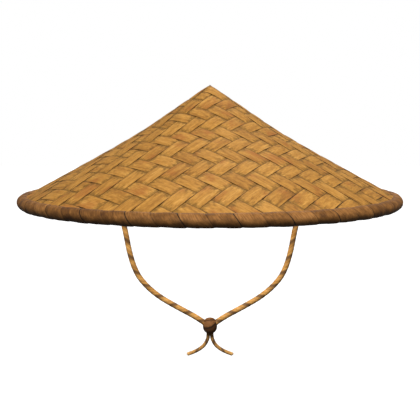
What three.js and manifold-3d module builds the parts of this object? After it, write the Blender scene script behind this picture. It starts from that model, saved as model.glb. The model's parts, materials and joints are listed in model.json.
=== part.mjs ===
// Woven conical hat with a bound rim, a rib-and-hoop frame, a padded head ring and a chin cord
// with a sliding bead. Millimetres, +Z up. The wearer's ears are on the X axis and the face is
// towards -Y. The origin is the middle of the head ring, where the head holds the hat.

import * as THREE from 'three';
import { mergeVertices } from 'three/addons/utils/BufferGeometryUtils.js';
import Module from 'manifold-3d';

const wasm = await Module();
wasm.setup();

// ---- Driving dimensions. Heights are measured from the middle plane of the rim. ----

const HEAD_RING_LIFT = 36; // head ring's middle above the rim plane
const TURN_STEPS = 48; // facets round every ring, so that neighbours' facets line up
const GAP = 0.3; // clearance between pieces that touch

// Upper face of the woven cone: three straight slopes, steepest at the crown.
const CONE_PROFILE = [
  [0, 126],
  [73, 76.4],
  [112, 53.6],
  [203, 4.3],
];
const WEAVE_THICKNESS = 1.8;

const RIM_RADIUS = 203; // circle through the middle of the rim binding
const RIM_TUBE = 7.1; // outer radius of the binding's section
const BINDING_WALL = 1.15;
const RIM_SLOT_UPPER = 135; // degrees round the section, from the outward slope
const RIM_SLOT_LOWER = 167.5;
const WEAVE_TAIL = 4; // how far the weave runs past the middle of the rim
const RIM_HOOP_TUBE = 3.4;
const RIM_SPLINT_WIDTH = 4.4;
const RIM_SPLINT_THICKNESS = 1.1;

const RIB_COUNT = 8;
const RIB_WIDTH = 5.5;
const RIB_THICKNESS = 3;
const RIB_GAP = 2; // room above a rib for its lashings
const RIB_START = 10;
const RIB_END = 195;
const CROWN_BOSS_RADIUS = 9.4;
const CROWN_BOSS_DEPTH = 12;

const FRAME_HOOP_RADII = { crown_hoop: 50, middle_hoop: 132, outer_hoop: 168 };
const FRAME_HOOP_TUBE = 1.6;

const RING_HOOP_RADIUS = 94.8;
const RING_HOOP_TUBE = 1.8;
const RING_LOWER_HOOP_HEIGHT = 20;
const RING_BAND_INNER = 94;
const RING_BAND_OUTER = 96;
const RING_BAND_TOP = 47.9;
const RING_BAND_BOTTOM = 22.3;
const SWEATBAND_INNER = 89.6;
const SWEATBAND_OUTER = 93.7;

const LASHING_THICKNESS = 1;
const LASHING_BREADTH = 1.2;
const LASHING_HALF_WIDTH = 5.2;

const TAB_BACK = 96.95;
const TAB_LEAF = 1.25;
const TAB_SHELF = 2.5;
const TAB_FRONT = 107.4;
const TAB_BOTTOM = 17.5;
const TAB_TOP = 34;
const TAB_WIDTH = 14;
const TAB_HOLE = 3.1;

const CORD_RADIUS = 2.75;
const TAIL_RADIUS = 1.85;
const CORD_SIDES = 10;
const TAIL_SIDES = 8;
const ANCHOR_X = 102.6;
const STOPPER_KNOT_RADIUS = 4;
const HANGING_KNOT_RADIUS = 4.6;

const BEAD_HEIGHT = -143.8; // middle of the bead
const BEAD_RADIUS = 7.7;
const BEAD_HALF_HEIGHT = 9.2;
const BEAD_LEG_HOLE = 3.3;
const BEAD_TAIL_HOLE = 2.2;

// Routes in the plane through both ears, as [distance from the middle, height].
const LEG_ROUTE = [
  [102.0, 7.6],
  [100.9, -1.0],
  [99.6, -10.0],
  [98.0, -19.0],
  [96.2, -28.0],
  [94.4, -36.5],
  [92.6, -46.0],
  [90.5, -57.0],
  [87.9, -67.5],
  [84.6, -77.5],
  [80.0, -87.0],
  [73.5, -95.6],
  [65.0, -104.0],
  [54.5, -112.0],
  [43.0, -119.0],
  [31.0, -125.7],
  [19.5, -132.0],
  [11.5, -137.0],
  [5.6, -141.2],
];
const LEG_STEPS = 36;
const TAIL_ROUTE = [
  [2.15, -147.6],
  [2.2, -153.2],
  [2.8, -158.2],
  [4.4, -163.0],
  [7.2, -167.0],
  [11.0, -170.2],
  [15.5, -172.9],
  [20.5, -175.1],
  [25.2, -176.8],
];
const TAIL_STEPS = 14;

const COLOURS = {
  weave: 0xb98442,
  binding: 0x8a5f38,
  bamboo: 0xc79a58,
  lashing: 0x6b4426,
  sweatband: 0xcdb58c,
  leather: 0x6e4527,
  cord: 0xd39a55,
  bead: 0x6b4a31,
};

// ---- Shared tools ----

const hat = new THREE.Group();
hat.position.z = -HEAD_RING_LIFT;

function addPiece(name, geometry, colour, roughness = 0.8) {
  const material = new THREE.MeshStandardMaterial({ color: COLOURS[colour], roughness });
  const piece = new THREE.Mesh(geometry, material);
  piece.name = name;
  hat.add(piece);
  return piece;
}

function signedVolume(geometry) {
  const points = geometry.attributes.position;
  const index = geometry.index;
  const [a, b, c] = [new THREE.Vector3(), new THREE.Vector3(), new THREE.Vector3()];
  let volume = 0;
  for (let i = 0; i < index.count; i += 3) {
    a.fromBufferAttribute(points, index.getX(i));
    b.fromBufferAttribute(points, index.getX(i + 1));
    c.fromBufferAttribute(points, index.getX(i + 2));
    volume += a.dot(b.cross(c));
  }
  return volume / 6;
}

// The same geometry with shared vertices and with its faces pointing out.
function closedBody(geometry) {
  const plain = geometry.clone();
  plain.deleteAttribute('normal');
  plain.deleteAttribute('uv');
  const merged = mergeVertices(plain, 1e-4);
  if (signedVolume(merged) < 0) {
    merged.setIndex(Array.from(merged.index.array).reverse());
  }
  return merged;
}

function toSolid(geometry) {
  const body = closedBody(geometry);
  const vertProperties = new Float32Array(body.attributes.position.array);
  const triVerts = new Uint32Array(body.index.array);
  return new wasm.Manifold(new wasm.Mesh({ numProp: 3, vertProperties, triVerts }));
}

function toGeometry(solid) {
  const mesh = solid.getMesh();
  const geometry = new THREE.BufferGeometry();
  geometry.setAttribute('position', new THREE.BufferAttribute(mesh.vertProperties, 3));
  geometry.setIndex(new THREE.BufferAttribute(mesh.triVerts, 1));
  return geometry;
}

// A profile of [radius, height] points turned round the Z axis.
function turned(profile, steps = TURN_STEPS) {
  const points = profile.map(([radius, height]) => new THREE.Vector2(radius, height));
  const geometry = new THREE.LatheGeometry(points, steps);
  geometry.rotateX(Math.PI / 2);
  return closedBody(geometry);
}

function circlePoints(radius, centreRadius, centreHeight, sides = 8) {
  const points = [];
  for (let i = 0; i <= sides; i += 1) {
    const angle = (2 * Math.PI * (i % sides)) / sides;
    points.push([centreRadius + radius * Math.cos(angle), centreHeight + radius * Math.sin(angle)]);
  }
  return points;
}

function hoop(name, radius, height, tube, colour = 'bamboo') {
  return addPiece(name, turned(circlePoints(tube, radius, height)), colour, 0.6);
}

// ---- The cone's profile ----

function slopeAt(radius) {
  const last = CONE_PROFILE.length - 1;
  let i = 1;
  while (i < last && radius > CONE_PROFILE[i][0]) {
    i += 1;
  }
  const [r0, z0] = CONE_PROFILE[i - 1];
  const [r1, z1] = CONE_PROFILE[i];
  return { slope: (z1 - z0) / (r1 - r0), radius: r0, height: z0 };
}

// Height of the surface that lies a given depth under the cone's upper face.
function heightUnder(radius, depth) {
  const part = slopeAt(radius);
  const drop = depth * Math.hypot(1, part.slope);
  return part.height + (radius - part.radius) * part.slope - drop;
}

const RIM_SLOPE = Math.atan(-slopeAt(RIM_RADIUS).slope);
const WEAVE_TOP_AT_RIM = heightUnder(RIM_RADIUS, 0) * Math.cos(RIM_SLOPE);

// A point in the rim's section: out along the cone's slope, and up from it.
function rimPoint(along, up) {
  return [
    RIM_RADIUS + along * Math.cos(RIM_SLOPE) + up * Math.sin(RIM_SLOPE),
    up * Math.cos(RIM_SLOPE) - along * Math.sin(RIM_SLOPE),
  ];
}

// Breaks of the profile between two radii, lowered by a depth, with both ends.
function profileUnder(from, to, depth) {
  const radii = CONE_PROFILE.map((point) => point[0]).filter((r) => r > from && r < to);
  return [from, ...radii, to].map((radius) => [radius, heightUnder(radius, depth)]);
}

// ---- Woven cone and rim ----

function makeWovenCone() {
  const upper = profileUnder(0, RIM_RADIUS - 8, 0);
  const lower = profileUnder(0, RIM_RADIUS - 8, WEAVE_THICKNESS).reverse();
  const edge = [
    rimPoint(WEAVE_TAIL, WEAVE_TOP_AT_RIM),
    rimPoint(WEAVE_TAIL, WEAVE_TOP_AT_RIM - WEAVE_THICKNESS),
  ];
  addPiece('woven_cone', turned([...upper, ...edge, ...lower]), 'weave');
}

function arcPoints(radius, from, to, count) {
  const points = [];
  for (let i = 0; i <= count; i += 1) {
    const angle = THREE.MathUtils.degToRad(from + ((to - from) * i) / count);
    points.push(rimPoint(radius * Math.cos(angle), radius * Math.sin(angle)));
  }
  return points;
}

function makeRimBinding() {
  const end = RIM_SLOT_LOWER - 360;
  const outer = arcPoints(RIM_TUBE, RIM_SLOT_UPPER, end, 14);
  const inner = arcPoints(RIM_TUBE - BINDING_WALL, end, RIM_SLOT_UPPER, 10);
  addPiece('rim_binding', turned([...outer, ...inner, outer[0]]), 'binding');
}

function makeRimCore() {
  const hoopUp = WEAVE_TOP_AT_RIM - WEAVE_THICKNESS - GAP - RIM_HOOP_TUBE;
  const [radius, height] = rimPoint(0, hoopUp);
  hoop('rim_hoop', radius, height, RIM_HOOP_TUBE);
  const low = WEAVE_TOP_AT_RIM + GAP;
  const high = low + RIM_SPLINT_THICKNESS;
  const half = RIM_SPLINT_WIDTH / 2;
  const section = [
    rimPoint(-half, low),
    rimPoint(half, low),
    rimPoint(half, high),
    rimPoint(-half, high),
    rimPoint(-half, low),
  ];
  addPiece('rim_splint', turned(section), 'bamboo');
}

// ---- Ribs, frame hoops and crown boss ----

const RIB_TOP_DEPTH = WEAVE_THICKNESS + RIB_GAP;
const RIB_BOTTOM_DEPTH = RIB_TOP_DEPTH + RIB_THICKNESS;

function ribAngle(number) {
  return (2 * Math.PI * (number + 0.5)) / RIB_COUNT;
}

function ribGeometry() {
  const top = profileUnder(RIB_START, RIB_END, RIB_TOP_DEPTH);
  const bottom = profileUnder(RIB_START, RIB_END, RIB_BOTTOM_DEPTH).reverse();
  const side = new THREE.Shape([...top, ...bottom].map(([x, y]) => new THREE.Vector2(x, y)));
  const rib = new THREE.ExtrudeGeometry(side, { depth: RIB_WIDTH, bevelEnabled: false });
  rib.translate(0, 0, -RIB_WIDTH / 2);
  rib.rotateX(Math.PI / 2);
  return rib;
}

function makeRibs() {
  for (let number = 0; number < RIB_COUNT; number += 1) {
    addPiece(`rib_${number + 1}`, ribGeometry(), 'bamboo').rotation.z = ribAngle(number);
  }
}

function makeCrownBoss() {
  const top = heightUnder(0, WEAVE_THICKNESS + GAP);
  const shoulder = heightUnder(CROWN_BOSS_RADIUS, WEAVE_THICKNESS + GAP);
  const profile = [
    [0, top],
    [CROWN_BOSS_RADIUS, shoulder],
    [CROWN_BOSS_RADIUS, shoulder - CROWN_BOSS_DEPTH],
    [CROWN_BOSS_RADIUS - 2, shoulder - CROWN_BOSS_DEPTH - 1],
    [0, shoulder - CROWN_BOSS_DEPTH - 1],
  ];
  addPiece('crown_boss', turned(profile, 24), 'bamboo', 0.6);
}

function makeFrameHoops() {
  const depth = RIB_BOTTOM_DEPTH + GAP + FRAME_HOOP_TUBE;
  for (const [name, radius] of Object.entries(FRAME_HOOP_RADII)) {
    hoop(name, radius, heightUnder(radius, depth), FRAME_HOOP_TUBE);
  }
}

// ---- Head ring, its lashings and the sweatband ----

const RING_HOOP_DEPTH = RIB_BOTTOM_DEPTH + GAP + RING_HOOP_TUBE;
const RING_UPPER_HOOP_HEIGHT = heightUnder(RING_HOOP_RADIUS, RING_HOOP_DEPTH);

function straightBand(inner, outer, bottom, top) {
  const corners = [
    [inner, bottom],
    [outer, bottom],
    [outer, top],
    [inner, top],
    [inner, bottom],
  ];
  return turned(corners);
}

function makeHeadRing() {
  hoop('ring_upper_hoop', RING_HOOP_RADIUS, RING_UPPER_HOOP_HEIGHT, RING_HOOP_TUBE);
  hoop('ring_lower_hoop', RING_HOOP_RADIUS, RING_LOWER_HOOP_HEIGHT, RING_HOOP_TUBE);
  const band = straightBand(RING_BAND_INNER, RING_BAND_OUTER, RING_BAND_BOTTOM, RING_BAND_TOP);
  addPiece('ring_band', band, 'bamboo');
  const bottom = RING_BAND_BOTTOM + GAP;
  const top = RING_BAND_TOP - GAP;
  addPiece('sweatband', straightBand(SWEATBAND_INNER, SWEATBAND_OUTER, bottom, top), 'sweatband');
}

function roundedRectangle(target, halfWidth, low, high, corner) {
  target.moveTo(-halfWidth + corner, low);
  target.lineTo(halfWidth - corner, low);
  target.quadraticCurveTo(halfWidth, low, halfWidth, low + corner);
  target.lineTo(halfWidth, high - corner);
  target.quadraticCurveTo(halfWidth, high, halfWidth - corner, high);
  target.lineTo(-halfWidth + corner, high);
  target.quadraticCurveTo(-halfWidth, high, -halfWidth, high - corner);
  target.lineTo(-halfWidth, low + corner);
  target.quadraticCurveTo(-halfWidth, low, -halfWidth + corner, low);
  return target;
}

// One turn of cord round a rib and the hoop under it, in a plane across both.
function lashingLoop(low, high, turn) {
  const wall = LASHING_THICKNESS;
  const half = LASHING_HALF_WIDTH;
  const outline = roundedRectangle(new THREE.Shape(), half + wall, low - wall, high + wall, 2.4);
  outline.holes.push(roundedRectangle(new THREE.Path(), half, low, high, 1.6));
  const options = { depth: LASHING_BREADTH, bevelEnabled: false, curveSegments: 2 };
  const loop = new THREE.ExtrudeGeometry(outline, options);
  loop.translate(0, 0, -LASHING_BREADTH / 2);
  loop.rotateX(Math.PI / 2);
  loop.rotateZ(turn);
  return toSolid(loop);
}

// Two crossed turns, tilted with the rib so that they lie square to it.
function lashingGeometry() {
  const low = -RING_HOOP_DEPTH - RING_HOOP_TUBE - GAP;
  const high = -RIB_TOP_DEPTH + GAP;
  const crossed = lashingLoop(low, high, Math.PI / 4).add(lashingLoop(low, high, -Math.PI / 4));
  const geometry = toGeometry(crossed);
  const tilt = Math.atan(-slopeAt(RING_HOOP_RADIUS).slope);
  geometry.rotateY(tilt);
  const sideways = -RING_HOOP_DEPTH * Math.sin(tilt);
  const down = -RING_HOOP_DEPTH * Math.cos(tilt);
  geometry.translate(RING_HOOP_RADIUS - sideways, 0, RING_UPPER_HOOP_HEIGHT - down);
  return geometry;
}

function makeLashings() {
  for (let number = 0; number < RIB_COUNT; number += 1) {
    const lashing = addPiece(`ring_lashing_${number + 1}`, lashingGeometry(), 'lashing');
    lashing.rotation.z = ribAngle(number);
  }
}

// ---- Chin cord: tabs, knots, legs, tails and bead ----

// The wearer faces -Y, so the left ear is on +X.
const SIDES = { left: 1, right: -1 };

function tabGeometry(side) {
  const outline = new THREE.Shape();
  outline.moveTo(TAB_BACK, TAB_BOTTOM);
  outline.lineTo(TAB_FRONT, TAB_BOTTOM);
  outline.lineTo(TAB_FRONT, TAB_BOTTOM + TAB_SHELF);
  outline.lineTo(TAB_BACK + TAB_LEAF, TAB_BOTTOM + TAB_SHELF);
  outline.lineTo(TAB_BACK + TAB_LEAF, TAB_TOP);
  outline.lineTo(TAB_BACK, TAB_TOP);
  outline.closePath();
  const leaf = new THREE.ExtrudeGeometry(outline, { depth: TAB_WIDTH, bevelEnabled: false });
  leaf.translate(0, 0, -TAB_WIDTH / 2);
  leaf.rotateX(Math.PI / 2);
  const drill = new THREE.CylinderGeometry(TAB_HOLE, TAB_HOLE, 3 * TAB_SHELF, 16);
  drill.rotateX(Math.PI / 2);
  drill.translate(ANCHOR_X, 0, TAB_BOTTOM + TAB_SHELF / 2);
  const geometry = toGeometry(toSolid(leaf).subtract(toSolid(drill)));
  return side > 0 ? geometry : geometry.rotateZ(Math.PI);
}

// The cord's fixed end: a short stub in the tab's hole with a stopper knot above it.
function cordRootGeometry() {
  const knotHeight = TAB_BOTTOM + TAB_SHELF + GAP + STOPPER_KNOT_RADIUS;
  const profile = [
    [0, TAB_BOTTOM],
    [CORD_RADIUS, TAB_BOTTOM],
    [CORD_RADIUS, knotHeight - Math.sqrt(STOPPER_KNOT_RADIUS ** 2 - CORD_RADIUS ** 2)],
  ];
  for (let degrees = -30; degrees <= 90; degrees += 30) {
    const angle = THREE.MathUtils.degToRad(degrees);
    const radius = degrees === 90 ? 0 : STOPPER_KNOT_RADIUS * Math.cos(angle);
    profile.push([radius, knotHeight + STOPPER_KNOT_RADIUS * Math.sin(angle)]);
  }
  return turned(profile, 12);
}

const HANGING_KNOT_HEIGHT = TAB_BOTTOM - GAP - HANGING_KNOT_RADIUS;

function cordTube(route, side, radius, sides, steps) {
  const points = route.map(([x, z]) => new THREE.Vector3(side * x, 0, z));
  const path = new THREE.CatmullRomCurve3(points);
  const section = new THREE.Shape();
  for (let i = 0; i < sides; i += 1) {
    const angle = (2 * Math.PI * i) / sides;
    const [x, y] = [radius * Math.cos(angle), radius * Math.sin(angle)];
    if (i === 0) section.moveTo(x, y);
    else section.lineTo(x, y);
  }
  section.closePath();
  return new THREE.ExtrudeGeometry(section, { steps, bevelEnabled: false, extrudePath: path });
}

function makeChinCord() {
  for (const [name, side] of Object.entries(SIDES)) {
    addPiece(`cord_tab_${name}`, tabGeometry(side), 'leather');
    addPiece(`cord_root_${name}`, cordRootGeometry(), 'cord').position.x = side * ANCHOR_X;
    const knot = closedBody(new THREE.SphereGeometry(HANGING_KNOT_RADIUS, 14, 10));
    const hanging = addPiece(`hanging_knot_${name}`, knot, 'cord');
    hanging.position.set(side * ANCHOR_X, 0, HANGING_KNOT_HEIGHT);
    const leg = cordTube(LEG_ROUTE, side, CORD_RADIUS, CORD_SIDES, LEG_STEPS);
    addPiece(`cord_leg_${name}`, leg, 'cord');
    const tail = cordTube(TAIL_ROUTE, side, TAIL_RADIUS, TAIL_SIDES, TAIL_STEPS);
    addPiece(`cord_tail_${name}`, tail, 'cord');
  }
}

// A drill of the given radius from one point to another in the plane through both ears.
function drillBetween(from, to, radius) {
  const start = new THREE.Vector3(from[0], 0, from[1]);
  const end = new THREE.Vector3(to[0], 0, to[1]);
  const along = end.clone().sub(start);
  const drill = new THREE.CylinderGeometry(radius, radius, along.length(), 12);
  const turn = new THREE.Quaternion();
  turn.setFromUnitVectors(new THREE.Vector3(0, 1, 0), along.clone().normalize());
  drill.applyQuaternion(turn);
  drill.translate(...start.add(end).multiplyScalar(0.5).toArray());
  return toSolid(drill);
}

function makeBead() {
  const ball = new THREE.SphereGeometry(1, 24, 16);
  ball.rotateX(Math.PI / 2);
  ball.scale(BEAD_RADIUS, BEAD_RADIUS, BEAD_HALF_HEIGHT);
  ball.translate(0, 0, BEAD_HEIGHT);
  let bead = toSolid(ball);
  const [outer, inner] = LEG_ROUTE.slice(-2);
  const share = outer[0] / (outer[0] - inner[0]);
  const middle = outer[1] + share * (inner[1] - outer[1]);
  for (const side of Object.values(SIDES)) {
    const mouth = [side * 2 * outer[0], 2 * outer[1] - middle];
    bead = bead.subtract(drillBetween(mouth, [0, middle], BEAD_LEG_HOLE));
    const across = side * TAIL_ROUTE[0][0];
    const below = BEAD_HEIGHT - 2 * BEAD_HALF_HEIGHT;
    bead = bead.subtract(drillBetween([across, BEAD_HEIGHT], [across, below], BEAD_TAIL_HOLE));
  }
  addPiece('chin_bead', toGeometry(bead), 'bead', 0.35);
}

makeWovenCone();
makeRimBinding();
makeRimCore();
makeRibs();
makeCrownBoss();
makeFrameHoops();
makeHeadRing();
makeLashings();
makeChinCord();
makeBead();

export default hat;
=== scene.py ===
"""Woven conical hat: twill cone, bound rim, rib-and-hoop frame, padded head ring and chin cord.

Metres, +Z up. The wearer faces -Y, and the origin is the middle of the head ring.
"""

import json
import math
from functools import partialmethod

import bmesh
import bpy
import numpy as np
from mathutils import Matrix, Vector

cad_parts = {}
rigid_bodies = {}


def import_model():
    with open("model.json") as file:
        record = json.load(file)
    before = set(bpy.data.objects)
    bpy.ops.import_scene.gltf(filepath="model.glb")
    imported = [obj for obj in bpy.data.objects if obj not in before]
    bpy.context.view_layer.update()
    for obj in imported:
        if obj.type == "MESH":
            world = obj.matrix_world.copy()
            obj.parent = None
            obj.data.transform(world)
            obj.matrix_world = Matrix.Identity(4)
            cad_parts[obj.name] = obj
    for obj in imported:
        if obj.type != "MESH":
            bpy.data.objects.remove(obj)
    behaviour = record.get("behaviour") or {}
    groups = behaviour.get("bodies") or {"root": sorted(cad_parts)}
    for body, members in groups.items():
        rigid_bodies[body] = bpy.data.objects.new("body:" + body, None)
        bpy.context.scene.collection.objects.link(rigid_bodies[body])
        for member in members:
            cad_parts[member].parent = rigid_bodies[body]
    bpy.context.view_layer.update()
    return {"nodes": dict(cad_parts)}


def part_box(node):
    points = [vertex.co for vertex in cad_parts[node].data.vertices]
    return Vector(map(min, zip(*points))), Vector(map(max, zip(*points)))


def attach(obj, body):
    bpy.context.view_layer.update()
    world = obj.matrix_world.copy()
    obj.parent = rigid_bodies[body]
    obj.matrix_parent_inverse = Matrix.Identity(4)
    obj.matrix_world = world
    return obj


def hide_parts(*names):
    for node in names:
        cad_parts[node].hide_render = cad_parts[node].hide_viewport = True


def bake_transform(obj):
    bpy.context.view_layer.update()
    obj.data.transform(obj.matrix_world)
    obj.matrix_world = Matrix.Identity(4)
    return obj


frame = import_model()

# ---- Driving sizes ----

RIM_PLANE = -0.036  # middle plane of the rim under the head ring's middle
CONE_PROFILE = [(0.0, 0.126), (0.073, 0.0764), (0.112, 0.0536), (0.203, 0.0043)]
PLAIT_REACH = 0.2272  # the flat plait's radius, before it's stretched onto the cone
PLAIT_TURN = 8.0  # degrees that the plait's own front is turned from the hat's
STRIPS = 16
STRIP_WIDTH = 0.0145
STRIP_FILL = 0.994
STRIP_THICKNESS = 0.00055
STRIP_LIFT = 0.0004
UNROLLED_SHARE = 0.75  # three quarter-turns of flat plait close into the cone

RIM_RADIUS = 0.203
RIM_TUBE = 0.0071
RIM_WRAPS = 52

RIB_COUNT = 8
RIB_WIDTH = 0.0055
RIB_THICKNESS = 0.003
RIB_TOP_DEPTH = 0.0038
RIB_START = 0.010
RIB_END = 0.195
RIB_JOINT_SPACING = 0.058
HOOP_JOINT_SPACING = 0.11

BAND_INSIDE = 0.0910  # radius at the quilting, before the cloth is puffed up
BAND_SMALLEST_INSIDE = 0.0878
BAND_QUILTS = 24
BAND_PLUMPNESS = 0.0014
BAND_MOST_PUFF = 0.0022
BAND_HEM = 0.0026
BAND_COLUMNS = 384
PUFF_STEPS = 20
STITCH_FROM_EDGE = 0.0021

TAB_CORNER = 0.0040
BEAD_SQUARENESS = 2.35  # 2 would make it an ellipsoid

CAMERA_PLACE = (0.0, -0.995, 0.0966 + RIM_PLANE)
CAMERA_DIP = 6.27  # degrees under level
CAMERA_LENS = 77.14
WORLD_GLOW = 0.62
WARM_WHITE = (1.0, 0.96, 0.89)

SEED = 7
SIDES = {"left": 1, "right": -1}
FULL_TURN = 2 * math.pi


# ---- Node trees: numbers worked out by nodes ----


def set_input(tree, socket, value):
    """Links a node's output to the socket, or sets the socket's own value."""
    if isinstance(value, Number):
        value = value.socket
    if isinstance(value, bpy.types.NodeSocket):
        tree.links.new(value, socket)
    else:
        socket.default_value = value


def add_node(tree, kind, inputs=None, **settings):
    """A new node with its settings and its inputs, by name or by place."""
    node = tree.nodes.new(kind)
    for name, value in settings.items():
        setattr(node, name, value)
    for key, value in (inputs or {}).items():
        set_input(tree, node.inputs[key], value)
    return node


class Number:
    """A number in a node tree. Arithmetic on it adds the nodes that do it."""

    def __init__(self, tree, socket):
        self.tree = tree
        self.socket = socket

    def work(self, operation, *others):
        """The number that a maths node makes of this one and the others."""
        inputs = dict(enumerate((self, *others)))
        node = add_node(self.tree, "ShaderNodeMath", inputs, operation=operation)
        return Number(self.tree, node.outputs[0])

    __add__ = __radd__ = partialmethod(work, "ADD")
    __sub__ = partialmethod(work, "SUBTRACT")
    __mul__ = __rmul__ = partialmethod(work, "MULTIPLY")
    __truediv__ = partialmethod(work, "DIVIDE")
    root = partialmethod(work, "SQRT")
    size = partialmethod(work, "ABSOLUTE")
    floor = partialmethod(work, "FLOOR")
    rounded = partialmethod(work, "ROUND")
    sin = partialmethod(work, "SINE")
    cos = partialmethod(work, "COSINE")
    angle_over = partialmethod(work, "ARCTAN2")
    modulo = partialmethod(work, "FLOORED_MODULO")
    below = partialmethod(work, "LESS_THAN")
    above = partialmethod(work, "GREATER_THAN")
    at_least = partialmethod(work, "MAXIMUM")
    at_most = partialmethod(work, "MINIMUM")
    soft_at_least = partialmethod(work, "SMOOTH_MAX")

    def __neg__(self):
        return self * -1.0

    def __rsub__(self, other):
        return -self + other

    def step(self, low, high):
        """0 under low, 1 over high, and a smooth rise between them."""
        inputs = {0: self, 1: low, 2: high, 3: 0.0, 4: 1.0}
        kind, smooth = "ShaderNodeMapRange", "SMOOTHSTEP"
        node = add_node(self.tree, kind, inputs, interpolation_type=smooth)
        return Number(self.tree, node.outputs[0])


def vector_of(tree, x, y, z):
    return add_node(tree, "ShaderNodeCombineXYZ", {0: x, 1: y, 2: z}).outputs[0]


def parts_of(tree, vector):
    node = add_node(tree, "ShaderNodeSeparateXYZ", {0: vector})
    return [Number(tree, output) for output in node.outputs]


def whole(value):
    """A number as the whole number that some sockets ask for."""
    return add_node(value.tree, "FunctionNodeFloatToInt", {0: value}).outputs[0]


# ---- Geometry Nodes: one tree a repeated thing, with named sizes ----


class Builder:
    """A Geometry Nodes tree with named number inputs, and the plain mesh that it makes."""

    def __init__(self, name, **sizes):
        self.name = name
        self.tree = bpy.data.node_groups.new(name, "GeometryNodeTree")
        self.sizes = dict(sizes)
        self.sockets = {}
        for size in sizes:
            kind = "NodeSocketFloat"
            item = self.tree.interface.new_socket(name=size, in_out="INPUT", socket_type=kind)
            self.sockets[size] = item.identifier
        kind = "NodeSocketMaterial"
        item = self.tree.interface.new_socket(name="finish", in_out="INPUT", socket_type=kind)
        self.sockets["finish"] = item.identifier
        kind = "NodeSocketGeometry"
        self.tree.interface.new_socket(name="Geometry", in_out="OUTPUT", socket_type=kind)
        self.start = self.tree.nodes.new("NodeGroupInput")

    def add(self, kind, inputs=None, **settings):
        return add_node(self.tree, kind, inputs, **settings)

    def size(self, name):
        return Number(self.tree, self.start.outputs[name])

    def index(self):
        return Number(self.tree, self.add("GeometryNodeInputIndex").outputs[0])

    def vector(self, x, y, z):
        return vector_of(self.tree, x, y, z)

    def random(self, low, high, seed, key):
        """A random number for each value of key."""
        node = self.add("FunctionNodeRandomValue", data_type="FLOAT")
        set_input(self.tree, node.inputs[2], low)
        set_input(self.tree, node.inputs[3], high)
        set_input(self.tree, node.inputs["Seed"], seed)
        set_input(self.tree, node.inputs["ID"], whole(key))
        return Number(self.tree, node.outputs[1])

    def store(self, geometry, name, value, domain="POINT", data_type="FLOAT"):
        inputs = {"Geometry": geometry, "Name": name, "Value": value}
        kind = "GeometryNodeStoreNamedAttribute"
        return self.add(kind, inputs, domain=domain, data_type=data_type).outputs[0]

    def read(self, name):
        kind = "GeometryNodeInputNamedAttribute"
        node = self.add(kind, {"Name": name}, data_type="FLOAT")
        return Number(self.tree, node.outputs[0])

    def place(self, geometry, position):
        inputs = {"Geometry": geometry, "Position": position}
        return self.add("GeometryNodeSetPosition", inputs).outputs[0]

    def moved(self, geometry, **changes):
        """The geometry with a Translation, a Rotation or a Scale."""
        inputs = {"Geometry": geometry, **changes}
        return self.add("GeometryNodeTransform", inputs).outputs[0]

    def rounded_loop(self, half_width, half_height, corner, corner_points):
        """An upright rectangular curve with round corners, across the X axis and up."""
        kind = "GeometryNodeCurvePrimitiveQuadrilateral"
        sides = {"Width": half_width * 2.0, "Height": half_height * 2.0}
        rectangle = self.add(kind, sides).outputs[0]
        inputs = {"Curve": rectangle, "Count": corner_points, "Radius": corner}
        fillet = self.add("GeometryNodeFilletCurve", inputs, mode="POLY").outputs[0]
        return self.moved(fillet, Rotation=(math.pi / 2, 0.0, 0.0))

    def finish_round_ring(self, item, first=0.0, middle=0.0):
        """Ends the tree with count copies of the item round a ring, each turned to face out."""
        count, ring = self.size("count"), self.size("ring")
        points = self.add("GeometryNodePoints", {"Count": whole(count)}).outputs[0]
        angle = (self.index() + first) * FULL_TURN / count
        across = ring * angle.cos() + middle
        spot = self.vector(across, ring * angle.sin(), self.size("height"))
        turn = self.vector(0.0, 0.0, angle)
        inputs = {"Points": self.place(points, spot), "Instance": item, "Rotation": turn}
        self.finish(self.add("GeometryNodeInstanceOnPoints", inputs).outputs[0])

    def finish(self, geometry):
        """Ends the tree: instances made real, and the finish put on."""
        real = self.add("GeometryNodeRealizeInstances", {"Geometry": geometry}).outputs[0]
        inputs = {"Geometry": real, "Material": self.start.outputs["finish"]}
        painted = self.add("GeometryNodeSetMaterial", inputs).outputs[0]
        end = self.tree.nodes.new("NodeGroupOutput")
        self.tree.links.new(painted, end.inputs[0])

    def make(self, name, finish, **sizes):
        """A plain mesh object made by the tree with these sizes."""
        holder = bpy.data.objects.new(name + "_maker", bpy.data.meshes.new(name + "_maker"))
        bpy.context.scene.collection.objects.link(holder)
        modifier = holder.modifiers.new(self.name, "NODES")
        modifier.node_group = self.tree
        for size, value in {**self.sizes, **sizes, "finish": finish}.items():
            modifier[self.sockets[size]] = value
        graph = bpy.context.evaluated_depsgraph_get()
        mesh = bpy.data.meshes.new_from_object(holder.evaluated_get(graph))
        mesh.name = name
        bpy.data.objects.remove(holder)
        return piece_of(name, mesh, finish)


# ---- Meshes and what they stand for ----


def on_hat(piece, slot, *nodes):
    """The piece goes on the hat's body, and the CAD nodes that it stands for are hidden."""
    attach(piece, "hat")
    if nodes:
        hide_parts(*nodes)


def box_middle(node):
    low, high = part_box(node)
    return (low + high) / 2


def ring_of(node):
    """A CAD hoop's radius, its height and half its thickness."""
    low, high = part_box(node)
    tube = (high.z - low.z) / 2
    return high.x - tube, (low.z + high.z) / 2, tube


def full_turn(count):
    """Even angles all the way round."""
    return np.linspace(0, FULL_TURN, count, endpoint=False)


def turned(radius, height, angle):
    """Rows of points at these radii and heights, turned round the axis to each angle."""
    return np.stack([radius * np.cos(angle), radius * np.sin(angle), height + 0 * angle], axis=-1)


def heading(line):
    """Unit steps along a line."""
    forward = np.gradient(line, axis=0)
    return forward / np.linalg.norm(forward, axis=1, keepdims=True)


def rounded_square(wave, power):
    """A sine or cosine made squarer by a power under 1."""
    return np.sign(wave) * np.abs(wave) ** power


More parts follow.
